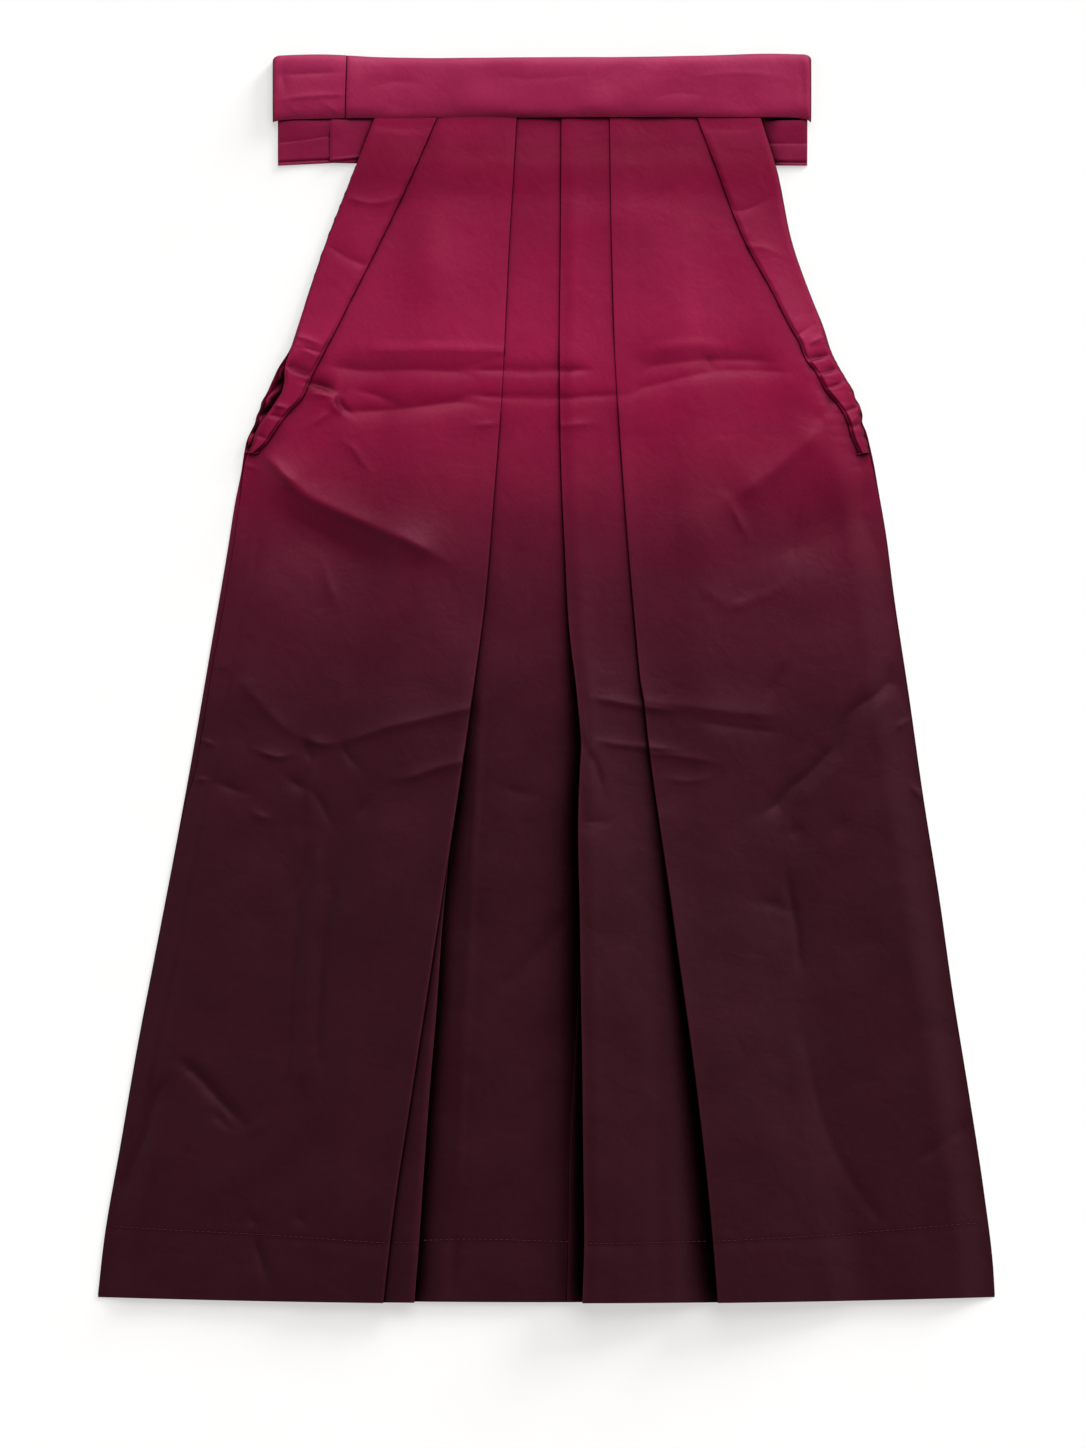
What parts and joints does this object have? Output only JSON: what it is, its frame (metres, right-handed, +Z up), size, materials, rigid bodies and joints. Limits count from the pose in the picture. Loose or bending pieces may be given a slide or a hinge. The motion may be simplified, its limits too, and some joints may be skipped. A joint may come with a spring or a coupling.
{
  "type": "hakama trousers",
  "caption": "Pleated hakama trousers laid flat with the front up, belt and ties folded, flared legs in crimson-to-plum satin.",
  "frame": {"origin": "on the surface that the trousers lie on, under the middle of their outline", "axes": "+X across the garment to the right as seen from above, +Y up the garment from the hem to the belt, +Z up from the surface"},
  "size_m": [0.6912, 0.961, 0.0194],
  "materials": {
    "panel_satin": "polyester satin dyed from crimson at the belt to dark plum at the hem",
    "strip_satin": "polyester satin, crimson, folded and pressed",
    "belt_satin": "polyester satin over a stiffener, crimson"
  },
  "bodies": {
    "root": {"back_left_panel": "panel_satin", "back_right_panel": "panel_satin", "back_left_side_strip": "strip_satin", "back_right_side_strip": "strip_satin", "back_belt": "belt_satin", "back_tie_fold": "belt_satin", "front_centre_panel": "panel_satin", "front_left_inner_pleat": "panel_satin", "front_left_panel": "panel_satin", "front_centre_inner_pleat": "panel_satin", "front_centre_pleat": "panel_satin", "front_right_panel": "panel_satin", "front_left_side_strip": "strip_satin", "front_right_side_strip": "strip_satin", "front_belt": "belt_satin", "front_belt_tie": "belt_satin", "front_tie_folds": "belt_satin"}
  },
  "joints": []
}
